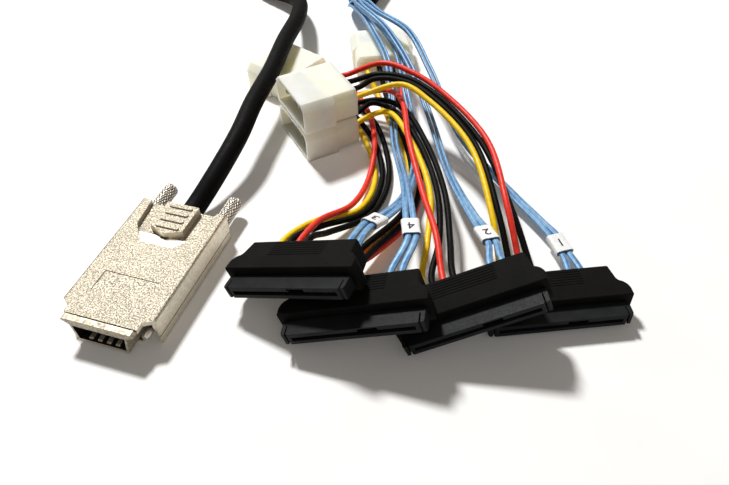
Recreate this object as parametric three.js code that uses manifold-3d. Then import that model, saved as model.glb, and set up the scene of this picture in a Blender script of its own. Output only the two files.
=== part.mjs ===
// Multilane storage breakout cable: a die-cast plug with two thumbscrews on a round cable,
// fanned out into four drive connectors, each with its own four-pin power plug.
// Millimetres, +Z up. The plug lies along Y with its mating face towards -Y, the table is z = 0
// and the origin is on the table under the middle of the plug's front shoulder.
import * as THREE from 'three';
import { mergeVertices } from 'three/addons/utils/BufferGeometryUtils.js';
import Module from 'manifold-3d';

const wasm = await Module();
wasm.setup();

// driving dimensions
const gap = 0.3;

const plugWidth = 28.4;
const plugLength = 41.8;
const plugHeight = 9.6;
const partingHeight = 3.1;
const shellEdgeRadius = 0.9;
const noseHalfWidth = 11.1;
const noseReach = 6.4;
const noseLipDepth = 1.8;
const noseLipDrop = 1.7;
const noseFloor = 1.3;
const noseWall = 0.7;
const chinReach = 1.5;
const mouthHalfTop = 8.0;
const mouthHalfBottom = 7.2;
const mouthTop = 7.1;
const tubeInside = 6.0;
const tabCount = 4;
const tabPitch = 2.75;
const cavityLength = 21.5;
const blockLength = 8.6;
const tongueReach = 1.2;
const tongueThickness = 1.5;
const boardThickness = 1.2;
const recessDepth = 1.5;
const recessHalfBack = 11.2;
const recessHalfFront = 5.2;
const recessLength = 17.0;
const padHalfWidth = 5.3;
const padRise = 0.8;
const padLength = 12.8;
const padRibCount = 4;
const padRibPitch = 2.9;
const padRibHeight = 0.5;
const panelWidth = 17.0;
const panelLength = 7.5;
const panelDepth = 0.25;

const screwSpacing = 22.6;
const screwAxisHeight = 4.9;
const screwRadius = 1.1;
const screwTipReach = 3.0;
const knobRadius = 2.3;
const knobLength = 11.0;
const knobFlutes = 16;
const tunnelClearance = 0.4;
const archHalfWidth = 2.4;
const archDepth = 3.2;
const shellScrewSpacing = 15.6;
const shellScrewRadius = 0.9;
const shellScrewHead = 1.7;
const shellScrewInset = 6.0;

const cableRadius = 3.3;
const cableHeight = 4.9;
const cableInset = 6.0;
const ferruleLength = 7.0;

const hoodFrontWidth = 41.3;
const hoodBackWidth = 34.6;
const hoodDepth = 11.5;
const hoodAbove = 4.6;
const hoodBelow = 3.8;
const hoodBackDrop = 0.5;
const gripGrooves = 6;
const gripWidth = 18.0;
const gripPitch = 0.95;
const housingReach = 5.1;
const housingHalf = 17.9;
const housingTop = 2.0;
const housingBottom = 1.9;
const housingTail = 4.6;
const armWidth = 1.2;
const slotWidth = 33.4;
const slotHeight = 1.3;
const slotDepth = 6.0;
const keyStart = 1.7;
const keyEnd = 7.0;
const keyRise = 0.9;
const contactPitch = 1.27;
const powerContacts = 14;
const signalContacts = 7;

const wireRadius = 0.95;
const wirePitch = 2.25;
const wireSteps = 18;
const wirePitchAtDrive = 3.0;
const powerEntry = -7.0;
const ribbonSteps = 26;
const ribbonWidth = 1.9;
const ribbonThickness = 1.3;
const ribbonPitch = 2.2;
const ribbonPitchAtDrive = 4.0;
const ribbonEntry = 9.5;
const sleeveLength = 7.0;
const sleeveWall = 0.25;
const sleeveClearance = 0.4;

const powerWidth = 24.0;
const powerLength = 20.0;
const powerHeight = 10.6;
const powerMouthLength = 11.5;
const powerStep = 1.0;
const powerWall = 1.1;
const powerCavity = 9.0;
const powerPinRadius = 1.05;
const powerPinPitch = 5.08;
const powerPinLength = 7.0;

const coilRadius = 34.0;
const coilTurns = 2;
const coilX = -31.0;
const coilY = 243.0;

const bootWidth = 13.0;
const bootHeight = 9.0;
const bootLength = 22.0;

// materials
const metal = (color, roughness) => new THREE.MeshStandardMaterial({ color, roughness, metalness: 1 });
const plain = (color, roughness) => new THREE.MeshStandardMaterial({ color, roughness, metalness: 0 });
const dieCast = metal(0xc9c2b4, 0.42);
const plated = metal(0xd2cdc2, 0.28);
const knurled = metal(0xb9b6b0, 0.32);
const hoodBlack = plain(0x141413, 0.62);
const housingBlack = plain(0x1d1e20, 0.38);
const contactGold = metal(0xb8a06a, 0.3);
const insulator = plain(0x101011, 0.5);
const boardGreen = plain(0x1f4a2c, 0.5);
const cableBlack = plain(0x0c0c0d, 0.5);
const nylon = plain(0xece8dc, 0.35);
const sleeveWhite = plain(0xf0f0ee, 0.55);
const ribbonBlue = plain(0x5b93c8, 0.32);
const wireColors = {
  yellow: plain(0xf0c410, 0.42),
  blackA: plain(0x121212, 0.45),
  red: plain(0xd8281c, 0.42),
  blackB: plain(0x121212, 0.45),
};

const assembly = new THREE.Group();

function addMesh(parent, name, geometry, material) {
  const mesh = new THREE.Mesh(geometry, material);
  mesh.name = name;
  parent.add(mesh);
  return mesh;
}

// solids: closed geometries joined and cut
function solid(geometry) {
  const bare = geometry.index ? geometry.clone() : geometry;
  bare.deleteAttribute('normal');
  bare.deleteAttribute('uv');
  const merged = mergeVertices(bare, 1e-4);
  return new wasm.Manifold(new wasm.Mesh({
    numProp: 3,
    vertProperties: new Float32Array(merged.attributes.position.array),
    triVerts: new Uint32Array(merged.index.array),
  }));
}

function geometryOf(manifold) {
  const mesh = manifold.getMesh();
  const geometry = new THREE.BufferGeometry();
  geometry.setAttribute('position', new THREE.BufferAttribute(new Float32Array(mesh.vertProperties), 3));
  geometry.setIndex(new THREE.BufferAttribute(new Uint32Array(mesh.triVerts), 1));
  geometry.computeVertexNormals();
  return geometry;
}

function shapeOf(points) {
  return new THREE.Shape(points.map(([x, y]) => new THREE.Vector2(x, y)));
}

// plan outline raised from z0 to z1
function raised(shape, z0, z1, curveSegments = 6) {
  const geometry = new THREE.ExtrudeGeometry(shape, { depth: z1 - z0, bevelEnabled: false, curveSegments });
  geometry.translate(0, 0, z0);
  return solid(geometry);
}

// section drawn in X and Z, run along Y from y0 to y1
function alongY(shape, y0, y1, curveSegments = 6) {
  const geometry = new THREE.ExtrudeGeometry(shape, { depth: y1 - y0, bevelEnabled: false, curveSegments });
  geometry.rotateX(Math.PI / 2);
  geometry.translate(0, y1, 0);
  return solid(geometry);
}

// profile drawn in Y and Z, run along X between -half and half
function alongX(shape, half) {
  const geometry = new THREE.ExtrudeGeometry(shape, { depth: 2 * half, bevelEnabled: false, curveSegments: 6 });
  geometry.rotateX(Math.PI / 2);
  geometry.rotateZ(Math.PI / 2);
  geometry.translate(-half, 0, 0);
  return solid(geometry);
}

function block(x0, x1, y0, y1, z0, z1) {
  const geometry = new THREE.BoxGeometry(x1 - x0, y1 - y0, z1 - z0);
  geometry.translate((x0 + x1) / 2, (y0 + y1) / 2, (z0 + z1) / 2);
  return solid(geometry);
}

function rodAlongY(radius, y0, y1, x, z, segments = 16) {
  const geometry = new THREE.CylinderGeometry(radius, radius, y1 - y0, segments);
  geometry.translate(x, (y0 + y1) / 2, z);
  return solid(geometry);
}

function turnedAlongY(profile, x, z, segments = 16) {
  const geometry = new THREE.LatheGeometry(profile.map(([r, y]) => new THREE.Vector2(r, y)), segments);
  geometry.translate(x, 0, z);
  return solid(geometry);
}

function roundedSection(halfWidth, z0, z1, radius) {
  const shape = new THREE.Shape();
  shape.moveTo(-halfWidth + radius, z0);
  shape.lineTo(halfWidth - radius, z0);
  shape.quadraticCurveTo(halfWidth, z0, halfWidth, z0 + radius);
  shape.lineTo(halfWidth, z1 - radius);
  shape.quadraticCurveTo(halfWidth, z1, halfWidth - radius, z1);
  shape.lineTo(-halfWidth + radius, z1);
  shape.quadraticCurveTo(-halfWidth, z1, -halfWidth, z1 - radius);
  shape.lineTo(-halfWidth, z0 + radius);
  shape.quadraticCurveTo(-halfWidth, z0, -halfWidth + radius, z0);
  return shape;
}

// arch: straight legs from z0, half-round top about height zc
function archSection(halfWidth, z0, zc, x) {
  const shape = new THREE.Shape();
  shape.moveTo(x - halfWidth, z0);
  shape.lineTo(x + halfWidth, z0);
  shape.lineTo(x + halfWidth, zc);
  shape.absarc(x, zc, halfWidth, 0, Math.PI, false);
  shape.lineTo(x - halfWidth, z0);
  return shape;
}

// the plug
const plug = new THREE.Group();
assembly.add(plug);

const halfPlug = plugWidth / 2;
const screwX = screwSpacing / 2;
const cavityHalf = screwX - screwRadius - tunnelClearance - 0.5;
const noseRoof = plugHeight - noseLipDrop;
const tubeTop = noseRoof - 0.1;
const cavityFloor = noseFloor - gap;
const cavityRoof = tubeTop + gap;
const tubeHalfTop = mouthHalfTop + noseWall;
const tubeHalfBottom = mouthHalfBottom + noseWall;
const lipFront = noseReach - noseLipDepth - gap;
const ferruleBack = plugLength - cableInset - gap;
const ferruleFront = ferruleBack - ferruleLength;

const bodyPlan = shapeOf([
  [-noseHalfWidth, -lipFront], [noseHalfWidth, -lipFront],
  [noseHalfWidth, -1.8], [noseHalfWidth + 0.5, -1.5], [halfPlug, 0],
  [halfPlug, plugLength], [-halfPlug, plugLength],
  [-halfPlug, 0], [-noseHalfWidth - 0.5, -1.5], [-noseHalfWidth, -1.8],
]);
const shellSection = roundedSection(halfPlug, 0, plugHeight, shellEdgeRadius);
const shellBar = alongY(shellSection, -lipFront - 1, plugLength + 1);
const bodySolid = raised(bodyPlan, -1, plugHeight + 1).intersect(shellBar);

// inner space: contact end, board, then the bore for the cable
const innerSpace = block(-cavityHalf, cavityHalf, -lipFront - 1, cavityLength, cavityFloor, cavityRoof)
  .add(block(-4, 4, cavityLength - 1, ferruleFront + 0.1, cableHeight - 2.4, cableHeight + 2.2))
  .add(rodAlongY(cableRadius + gap, ferruleFront, plugLength + 1, 0, cableHeight, 20));

const tunnelRadius = screwRadius + tunnelClearance;
let screwSpaces = null;
for (const side of [-1, 1]) {
  const x = side * screwX;
  const tunnel = alongY(archSection(tunnelRadius, partingHeight - 1, screwAxisHeight, x), -lipFront - 1, plugLength + 1)
    .add(alongY(archSection(archHalfWidth, -1, screwAxisHeight, x), -lipFront - 1, archDepth));
  screwSpaces = screwSpaces ? screwSpaces.add(tunnel) : tunnel;
}

// back recess with a ramp at its front, and the raised grip pad over the cable
const recessPlan = shapeOf([
  [-recessHalfBack, plugLength + 1], [-recessHalfBack + 1.2, plugLength - recessLength + 6.5],
  [-recessHalfFront, plugLength - recessLength], [recessHalfFront, plugLength - recessLength],
  [recessHalfBack - 1.2, plugLength - recessLength + 6.5], [recessHalfBack, plugLength + 1],
]);
const rampProfile = shapeOf([
  [plugLength - recessLength - 0.5, plugHeight + 1],
  [plugLength - recessLength - 0.5, plugHeight - 0.1],
  [plugLength - padLength + 0.6, plugHeight - recessDepth],
  [plugLength + 2, plugHeight - recessDepth],
  [plugLength + 2, plugHeight + 1],
]);
const recess = raised(recessPlan, plugHeight - recessDepth - 1, plugHeight + 2).intersect(alongX(rampProfile, halfPlug));
const padTop = plugHeight + padRise;
const padPlan = shapeOf([
  [-padHalfWidth, plugLength], [-padHalfWidth, plugLength - padLength + 2.2],
  [0, plugLength - padLength], [padHalfWidth, plugLength - padLength + 2.2],
  [padHalfWidth, plugLength],
]);
let gripPad = raised(padPlan, partingHeight + 0.4, padTop);
for (let i = 0; i < padRibCount; i++) {
  const y = plugLength - 1.4 - i * padRibPitch;
  const rib = new THREE.Shape();
  rib.absarc(-3.2, y, 0.65, Math.PI / 2, 1.5 * Math.PI, false);
  rib.absarc(3.2, y, 0.65, -Math.PI / 2, Math.PI / 2, false);
  gripPad = gripPad.add(raised(rib, padTop - 0.3, padTop + padRibHeight, 5));
}

const panelY = 8.2;
const panelCut = block(-panelWidth / 2, panelWidth / 2, panelY - panelLength / 2, panelY + panelLength / 2,
  plugHeight - panelDepth, plugHeight + 1);

const shellScrewX = shellScrewSpacing / 2;
const shellScrewY = plugLength - shellScrewInset;
let screwHoles = null;
for (const side of [-1, 1]) {
  const hole = turnedZ([[0, -1], [shellScrewHead + gap, -1], [shellScrewHead + gap, 1.0],
    [shellScrewRadius + gap, 1.8], [shellScrewRadius + gap, 6.2], [0, 6.2]], side * shellScrewX, shellScrewY);
  screwHoles = screwHoles ? screwHoles.add(hole) : hole;
}

function turnedZ(profile, x, y, segments = 14) {
  const geometry = new THREE.LatheGeometry(profile.map(([r, z]) => new THREE.Vector2(r, z)), segments);
  geometry.rotateX(Math.PI / 2);
  geometry.translate(x, y, 0);
  return solid(geometry);
}

const upperHalf = block(-halfPlug - 1, halfPlug + 1, -lipFront - 2, plugLength + 2, partingHeight + gap / 2, plugHeight + 3);
const lowerHalf = block(-halfPlug - 1, halfPlug + 1, -chinReach, plugLength + 2, -1, partingHeight - gap / 2);
const nosePocket = block(-noseHalfWidth - 2, noseHalfWidth + 2, -lipFront - 1, 0, -1, noseRoof + gap);
const shellTop = bodySolid.subtract(recess).add(gripPad).intersect(upperHalf)
  .subtract(innerSpace).subtract(screwSpaces).subtract(panelCut).subtract(screwHoles).subtract(nosePocket);
const shellBottom = bodySolid.intersect(lowerHalf).subtract(innerSpace).subtract(screwSpaces).subtract(screwHoles);
addMesh(plug, 'shell_top', geometryOf(shellTop), dieCast);
addMesh(plug, 'shell_bottom', geometryOf(shellBottom), dieCast);

// flared mating tube with its overhanging lip and the sprung tabs along its lower rim
const tubeOuter = shapeOf([[-tubeHalfBottom, noseFloor], [tubeHalfBottom, noseFloor], [tubeHalfTop, tubeTop], [-tubeHalfTop, tubeTop]]);
const tubeInner = shapeOf([[-mouthHalfBottom, noseFloor + noseWall], [mouthHalfBottom, noseFloor + noseWall],
  [mouthHalfTop, mouthTop], [-mouthHalfTop, mouthTop]]);
const lipSection = shapeOf([
  [-noseHalfWidth, plugHeight - 0.9], [-noseHalfWidth + 0.9, plugHeight - 0.1], [noseHalfWidth - 0.9, plugHeight - 0.1],
  [noseHalfWidth, plugHeight - 0.9], [tubeHalfTop, noseRoof - 0.6], [-tubeHalfTop, noseRoof - 0.6],
]);
let noseFrame = alongY(tubeOuter, -noseReach, tubeInside)
  .add(alongY(lipSection, -noseReach, -noseReach + noseLipDepth))
  .subtract(alongY(tubeInner, -noseReach - 1, tubeInside + 1));
const tabProfile = shapeOf([
  [-noseReach + 0.1, noseFloor + 0.2], [-noseReach + 3.4, noseFloor + 0.2],
  [-noseReach + 3.2, noseFloor + noseWall + 0.55], [-noseReach + 1.0, noseFloor + noseWall + 0.35],
]);
for (let i = 0; i < tabCount; i++) {
  const x = (i - (tabCount - 1) / 2) * tabPitch;
  noseFrame = noseFrame.add(alongX(tabProfile, 0.65).translate([x, 0, 0]));
}
addMesh(plug, 'nose_frame', geometryOf(noseFrame), plated);

// contact carrier with its recessed tongue, standing inside the tube
const blockHalfTop = mouthHalfTop - gap - 0.1;
const blockHalfBottom = mouthHalfBottom - gap - 0.1;
const blockSection = shapeOf([[-blockHalfBottom, noseFloor + noseWall + gap], [blockHalfBottom, noseFloor + noseWall + gap],
  [blockHalfTop, mouthTop - gap], [-blockHalfTop, mouthTop - gap]]);
const tongueMid = (noseFloor + noseWall + mouthTop) / 2;
let contactBlock = alongY(blockSection, 0.3, 0.3 + blockLength)
  .add(block(-blockHalfBottom, blockHalfBottom, -tongueReach, 1, tongueMid - tongueThickness / 2, tongueMid + tongueThickness / 2));
for (let i = 0; i < 17; i++) {
  const x = (i - 8) * 0.8;
  contactBlock = contactBlock.add(block(x - 0.17, x + 0.17, -tongueReach + 0.15, 0.6,
    tongueMid + tongueThickness / 2 - 0.1, tongueMid + tongueThickness / 2 + 0.15));
}
addMesh(plug, 'contact_block', geometryOf(contactBlock), insulator);

const boardFront = 0.3 + blockLength + gap;
const paddleBoard = block(-cavityHalf + gap, cavityHalf - gap, boardFront, cavityLength - gap,
  tongueMid - boardThickness / 2, tongueMid + boardThickness / 2);
addMesh(plug, 'paddle_board', geometryOf(paddleBoard), boardGreen);

const ferrule = turnedAlongY([[0, ferruleFront], [2.0, ferruleFront], [2.2, ferruleFront + 1.2], [cableRadius, ferruleFront + 1.8],
  [cableRadius, ferruleBack], [0, ferruleBack]], 0, cableHeight, 16);
addMesh(plug, 'cable_ferrule', geometryOf(ferrule), plated);

// captive thumbscrews: fluted knob behind the shell, shank through the side tunnel
function thumbscrew() {
  const y0 = plugLength + gap;
  const knobEnd = y0 + knobLength;
  const outline = new THREE.Shape();
  for (let i = 0; i < knobFlutes * 2; i++) {
    const angle = (i / (knobFlutes * 2)) * 2 * Math.PI;
    const r = i % 2 ? knobRadius - 0.22 : knobRadius;
    const x = r * Math.cos(angle);
    const z = r * Math.sin(angle);
    if (i === 0) outline.moveTo(x, z);
    else outline.lineTo(x, z);
  }
  outline.closePath();
  const knob = alongY(outline, y0, knobEnd).intersect(turnedAlongY([[0, y0], [knobRadius - 0.4, y0],
    [knobRadius + 0.1, y0 + 0.6], [knobRadius + 0.1, knobEnd - 0.8], [knobRadius - 0.6, knobEnd], [0, knobEnd]], 0, 0, 20));
  const shank = turnedAlongY([[0, -screwTipReach], [screwRadius - 0.4, -screwTipReach], [screwRadius, -screwTipReach + 0.6],
    [screwRadius, y0 + 1], [0, y0 + 1]], 0, 0, 12);
  return geometryOf(knob.add(shank));
}
for (const [name, side] of [['thumbscrew_left', -1], ['thumbscrew_right', 1]]) {
  const mesh = addMesh(plug, name, thumbscrew(), knurled);
  mesh.position.set(side * screwX, 0, screwAxisHeight);
}
for (const [name, side] of [['shell_screw_left', -1], ['shell_screw_right', 1]]) {
  const screw = turnedZ([[0, 0.3], [shellScrewHead, 0.3], [shellScrewHead, 0.9], [shellScrewRadius, 1.9],
    [shellScrewRadius, 5.8], [0, 5.8]], side * shellScrewX, shellScrewY, 12);
  addMesh(plug, name, geometryOf(screw), plated);
}

// drive connectors
// Local frame: origin at the slot's middle on the mating face, X along the slot, wires leave towards +Y.
const hoodBack = housingReach + hoodDepth;

function driveHood() {
  const f = hoodFrontWidth / 2;
  const b = hoodBackWidth / 2;
  const plan = new THREE.Shape();
  plan.moveTo(-f, housingReach);
  plan.lineTo(f, housingReach);
  plan.lineTo(f, housingReach + 2.2);
  plan.quadraticCurveTo(f - 0.2, housingReach + 4.2, b + 1.3, housingReach + 5.2);
  plan.quadraticCurveTo(b + 0.5, housingReach + 5.8, b + 0.4, housingReach + 7.6);
  plan.lineTo(b, hoodBack - 0.8);
  plan.lineTo(b - 0.9, hoodBack);
  plan.lineTo(-b + 0.9, hoodBack);
  plan.lineTo(-b, hoodBack - 0.8);
  plan.lineTo(-b - 0.4, housingReach + 7.6);
  plan.quadraticCurveTo(-b - 0.5, housingReach + 5.8, -b - 1.3, housingReach + 5.2);
  plan.quadraticCurveTo(-f + 0.2, housingReach + 4.2, -f, housingReach + 2.2);
  plan.closePath();
  const side = shapeOf([
    [housingReach, -hoodBelow + 0.3], [housingReach + 0.3, -hoodBelow], [hoodBack - 0.6, -hoodBelow],
    [hoodBack, -hoodBelow + 0.6], [hoodBack, hoodAbove - hoodBackDrop - 0.7], [hoodBack - 0.7, hoodAbove - hoodBackDrop],
    [housingReach + 4.5, hoodAbove], [housingReach + 0.35, hoodAbove], [housingReach, hoodAbove - 0.35],
  ]);
  let hood = raised(plan, -hoodBelow - 1, hoodAbove + 1, 4).intersect(alongX(side, f + 1));
  for (let i = 0; i < gripGrooves; i++) {
    const y = hoodBack - 1.6 - i * gripPitch;
    hood = hood.subtract(block(-gripWidth / 2, gripWidth / 2, y - 0.22, y + 0.22, hoodAbove - hoodBackDrop - 0.25, hoodAbove + 1));
  }
  const tailHalf = slotWidth / 2 + 0.9;
  hood = hood.subtract(block(-tailHalf - gap, tailHalf + gap, housingReach - 1, housingReach + housingTail + gap,
    -housingBottom + 0.2 - gap, housingTop - 0.2 + gap));
  return geometryOf(hood);
}

function driveHousing() {
  const face = housingReach - gap;
  const tailHalf = slotWidth / 2 + 0.9;
  const half = slotWidth / 2;
  const armInner = housingHalf + gap;
  const armOuter = armInner + armWidth;
  const plan = new THREE.Shape();
  plan.moveTo(-armOuter + 0.3, 0.2);
  plan.lineTo(-armInner, 0.2);
  plan.lineTo(-armInner, face - 1.6);
  plan.lineTo(-housingHalf, face - 1.6);
  plan.lineTo(-housingHalf, 0.4);
  plan.lineTo(-housingHalf + 0.4, 0);
  plan.lineTo(housingHalf - 0.4, 0);
  plan.lineTo(housingHalf, 0.4);
  plan.lineTo(housingHalf, face - 1.6);
  plan.lineTo(armInner, face - 1.6);
  plan.lineTo(armInner, 0.2);
  plan.lineTo(armOuter - 0.3, 0.2);
  plan.lineTo(armOuter, 0.9);
  plan.lineTo(armOuter, face);
  plan.lineTo(-armOuter, face);
  plan.lineTo(-armOuter, 0.9);
  plan.closePath();
  let housing = raised(plan, -housingBottom, housingTop)
    .add(block(-tailHalf, tailHalf, face - 1, housingReach + housingTail, -housingBottom + 0.2, housingTop - 0.2));
  // mating slot with its lead-in, and the key notch through the upper lip
  const slotSection = shapeOf([[-half, -slotHeight / 2], [half, -slotHeight / 2], [half, slotHeight / 2], [-half, slotHeight / 2]]);
  housing = housing.subtract(alongY(slotSection, -1, slotDepth));
  housing = housing.subtract(block(keyStart, keyEnd, -1, 2.6, 0, slotHeight / 2 + keyRise));
  return geometryOf(housing);
}

// contact springs: one comb of fingers along the slot's lower wall
function driveContacts() {
  const shape = new THREE.Shape();
  const half = slotWidth / 2 - 0.4;
  const back = slotDepth - gap;
  const root = back - 0.8;
  shape.moveTo(-half, back);
  shape.lineTo(-half, root);
  const fingers = [];
  for (let i = 0; i < powerContacts; i++) fingers.push(-half + 0.7 + i * contactPitch);
  for (let i = 0; i < signalContacts; i++) fingers.push(half - 0.7 - (signalContacts - 1 - i) * contactPitch);
  for (const x of fingers) {
    shape.lineTo(x - 0.3, root);
    shape.lineTo(x - 0.3, 1.0);
    shape.lineTo(x + 0.3, 1.0);
    shape.lineTo(x + 0.3, root);
  }
  shape.lineTo(half, root);
  shape.lineTo(half, back);
  shape.closePath();
  return geometryOf(raised(shape, -slotHeight / 2 + gap, -slotHeight / 2 + gap + 0.3));
}

// slot middle in the world, turn about Z and tilt of the slot line, in degrees
const drives = [
  { name: 'a', x: 44.5, y: 14.6, z: 14.5, yaw: -3.5, tilt: 21.3 },
  { name: 'b', x: 64.9, y: 10.0, z: 11.0, yaw: 10.2, tilt: 17.2 },
  { name: 'c', x: 94.7, y: 20.2, z: 11.45, yaw: 24.0, tilt: 20.5 },
  { name: 'd', x: 115.1, y: 34.0, z: hoodBelow, yaw: 24.0, tilt: 0.0 },
];

for (const drive of drives) {
  const group = new THREE.Group();
  group.rotation.order = 'ZYX';
  group.rotation.set(0, -THREE.MathUtils.degToRad(drive.tilt), THREE.MathUtils.degToRad(drive.yaw));
  group.position.set(drive.x, drive.y, drive.z);
  addMesh(group, `drive_hood_${drive.name}`, driveHood(), hoodBlack);
  addMesh(group, `drive_housing_${drive.name}`, driveHousing(), housingBlack);
  addMesh(group, `drive_contacts_${drive.name}`, driveContacts(), contactGold);
  assembly.add(group);
  group.updateMatrixWorld(true);
  drive.matrix = group.matrixWorld.clone();
}

// four-pin power plugs
// Local frame: origin at the middle of the wire face, mouth towards -Y.
function powerHousing() {
  const w = powerWidth / 2;
  const h = powerHeight / 2;
  const mouth = shapeOf([[-w, -h], [w, -h], [w, h - 2.2], [w - 2.2, h], [-w + 2.2, h], [-w, h - 2.2]]);
  const rear = shapeOf([[-w + 0.8, -h + powerStep], [w - 0.8, -h + powerStep], [w - 0.8, h - 2.2], [w - 2.2, h], [-w + 2.2, h], [-w + 0.8, h - 2.2]]);
  const t = powerWall;
  const inner = shapeOf([[-w + t, -h + t], [w - t, -h + t], [w - t, h - 2.7], [w - 2.7, h - t], [-w + 2.7, h - t], [-w + t, h - 2.7]]);
  let housing = alongY(mouth, -powerLength, -powerLength + powerMouthLength)
    .add(alongY(rear, -powerLength + powerMouthLength - 1, 0))
    .subtract(alongY(inner, -powerLength - 1, -powerLength + powerCavity));
  for (let i = 0; i < 4; i++) {
    const x = (i - 1.5) * powerPinPitch;
    housing = housing.add(turnedAlongY([[0, -powerLength + powerCavity - powerPinLength],
      [powerPinRadius - 0.5, -powerLength + powerCavity - powerPinLength],
      [powerPinRadius, -powerLength + powerCavity - powerPinLength + 1.2],
      [powerPinRadius, -powerLength + powerCavity + 0.5], [0, -powerLength + powerCavity + 0.5]], x, 0, 10));
    housing = housing.subtract(rodAlongY(wireRadius + 0.6, -1.2, 1, x, 0, 10));
  }
  return geometryOf(housing);
}

const upperPlugLift = powerHeight + 0.7;
// wire-face middle, and the turn that points the mouth: 0 = towards -Y
const powerPlugs = [
  { name: 'd', x: 28.9, y: 106.4, z: powerHeight / 2 + upperPlugLift, yaw: -44.5 },
  { name: 'c', x: 28.9, y: 106.4, z: powerHeight / 2, yaw: -44.5 },
  { name: 'a', x: 7.5, y: 123.8, z: powerHeight / 2, yaw: -111.7 },
  { name: 'b', x: 33.7, y: 141.0, z: powerHeight / 2, yaw: -155.5 },
];
for (const power of powerPlugs) {
  const mesh = addMesh(assembly, `power_plug_${power.name}`, powerHousing(), nylon);
  mesh.rotation.set(0, 0, THREE.MathUtils.degToRad(power.yaw));
  mesh.position.set(power.x, power.y, power.z);
  mesh.updateMatrixWorld(true);
  power.matrix = mesh.matrixWorld.clone();
}

// cords
function ovalShape(halfA, halfB, sides) {
  const points = [];
  for (let i = 0; i < sides; i++) {
    const angle = ((i + 0.5) / sides) * 2 * Math.PI;
    points.push([halfA * Math.cos(angle), halfB * Math.sin(angle)]);
  }
  return shapeOf(points);
}

function tube(points, section, steps) {
  const path = new THREE.CatmullRomCurve3(points, false, 'centripetal');
  return new THREE.ExtrudeGeometry(section, { steps, bevelEnabled: false, extrudePath: path });
}

const up = new THREE.Vector3(0, 0, 1);
const v = (x, y, z) => new THREE.Vector3(x, y, z);

// centre line points widened sideways (lat) and upwards (lift) for one strand of a bundle
function strand(centres, lats, lifts) {
  return centres.map((c, i) => {
    const a = centres[Math.max(0, i - 1)];
    const b = centres[Math.min(centres.length - 1, i + 1)];
    const along = b.clone().sub(a).setZ(0).normalize();
    const side = new THREE.Vector3().crossVectors(up, along);
    return c.clone().addScaledVector(side, lats[i]).addScaledVector(up, lifts[i]);
  });
}

const wireSection = ovalShape(wireRadius, wireRadius, 8);
const wireNames = ['yellow', 'black_a', 'red', 'black_b'];
const wireMaterials = [wireColors.yellow, wireColors.blackA, wireColors.red, wireColors.blackB];
// slot order at the power plug along its local X, and at the drive connector
const driveOrder = { yellow: 0, black_a: 1, red: 2, black_b: 3 };
const plugOrder = { yellow: 0, black_a: 1, black_b: 2, red: 3 };

const powerRoutes = {
  d: { centres: [[39, 113, 19], [50, 112, 20], [62, 106, 19], [80, 89.5, 16], [93, 65, 11]] },
  c: { centres: [[38, 112.8, 8.6], [48, 107, 11], [60, 90, 11.5], [71.5, 68, 11], [77.5, 50, 9.5]], stubRise: 1.4 },
  a: { centres: [[22.4, 120.4, 1.6], [35, 110, 1.3], [45, 94, 1.4], [50.5, 78, 1.4], [50, 62, 3], [42.5, 47, 8]] },
  b: { centres: [[38.5, 130, 2.5], [46, 116, 1.4], [54.5, 101, 1.4], [61.5, 84, 1.4], [64, 66, 1.4], [58.5, 44, 5]] },
};

for (const name of ['a', 'b', 'c', 'd']) {
  const drive = drives.find((d) => d.name === name);
  const power = powerPlugs.find((p) => p.name === name);
  const route = powerRoutes[name].centres.map(([x, y, z]) => v(x, y, z));
  const rise = powerRoutes[name].stubRise || 0;
  const last = route.length - 1;
  wireNames.forEach((wire, w) => {
    const px = -(plugOrder[wire] - 1.5) * powerPinPitch;
    const dx = powerEntry + (driveOrder[wire] - 1.5) * wirePitchAtDrive;
    const start = v(px, gap, 0).applyMatrix4(power.matrix);
    const startOut = v(px * 0.92, 5, rise).applyMatrix4(power.matrix);
    const end = v(dx, hoodBack + gap, 0).applyMatrix4(drive.matrix);
    const endOut = v(dx * 0.98, hoodBack + 5.5, 0).applyMatrix4(drive.matrix);
    const orders = route.map((_, i) => {
      if (wire === 'red') return i === 0 ? 3.2 : i === last ? 2 : 2.5;
      if (wire === 'black_b') return i === 0 ? 2.1 : 3;
      return driveOrder[wire];
    });
    const lifts = route.map(() => (wire === 'red' ? 2.5 : 0));
    const lats = orders.map((order, i) => (order - 1.6) * wirePitch * (i ? 1 : 1.35));
    const points = [start, startOut, ...strand(route, lats, lifts), endOut, end];
    addMesh(assembly, `wire_${wire}_${name}`, tube(points, wireSection, wireSteps), wireMaterials[w]);
  });
}

// eight flat strands from the boot, in two layers, two to each drive connector
const bootX = 6.0;
const bootY = 217.0;
const bootZ = 5.0;
const ribbonSection = ovalShape(ribbonThickness / 2, ribbonWidth / 2, 8);
const ribbonRoutes = {
  a: [[14, 177, 9], [24, 160, 13], [36.5, 144, 13], [49, 118, 8], [56.5, 100, 7], [61.5, 82, 7], [62.5, 66, 8.5], [60.3, 51.5, 13], [58.4, 43, 17]],
  b: [[8.5, 178, 9], [17.5, 163, 13.5], [27.5, 148, 14], [37, 133, 12.5], [44.5, 114, 7], [52, 92, 7.5], [62.5, 68, 11.2], [68, 52.5, 13.4], [71, 44, 14.8]],
  c: [[8.5, 178, 12.5], [17.5, 163, 17], [31, 149, 17.8], [46, 131, 14], [59.5, 109, 9], [72, 84, 7.4], [84.3, 63, 10], [88.5, 56, 12], [92.5, 49.3, 13.9]],
  d: [[14, 177, 12.5], [25, 161, 17], [41, 147, 18.5], [54, 129, 15], [71.5, 104, 7], [91, 85, 4], [104, 72.3, 3.8], [108.5, 67.6, 3.8], [113, 60.8, 3.8]],
};
const bootSlots = { a: [1, 0], b: [-1, 0], c: [-1, 1], d: [1, 1] };

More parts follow.
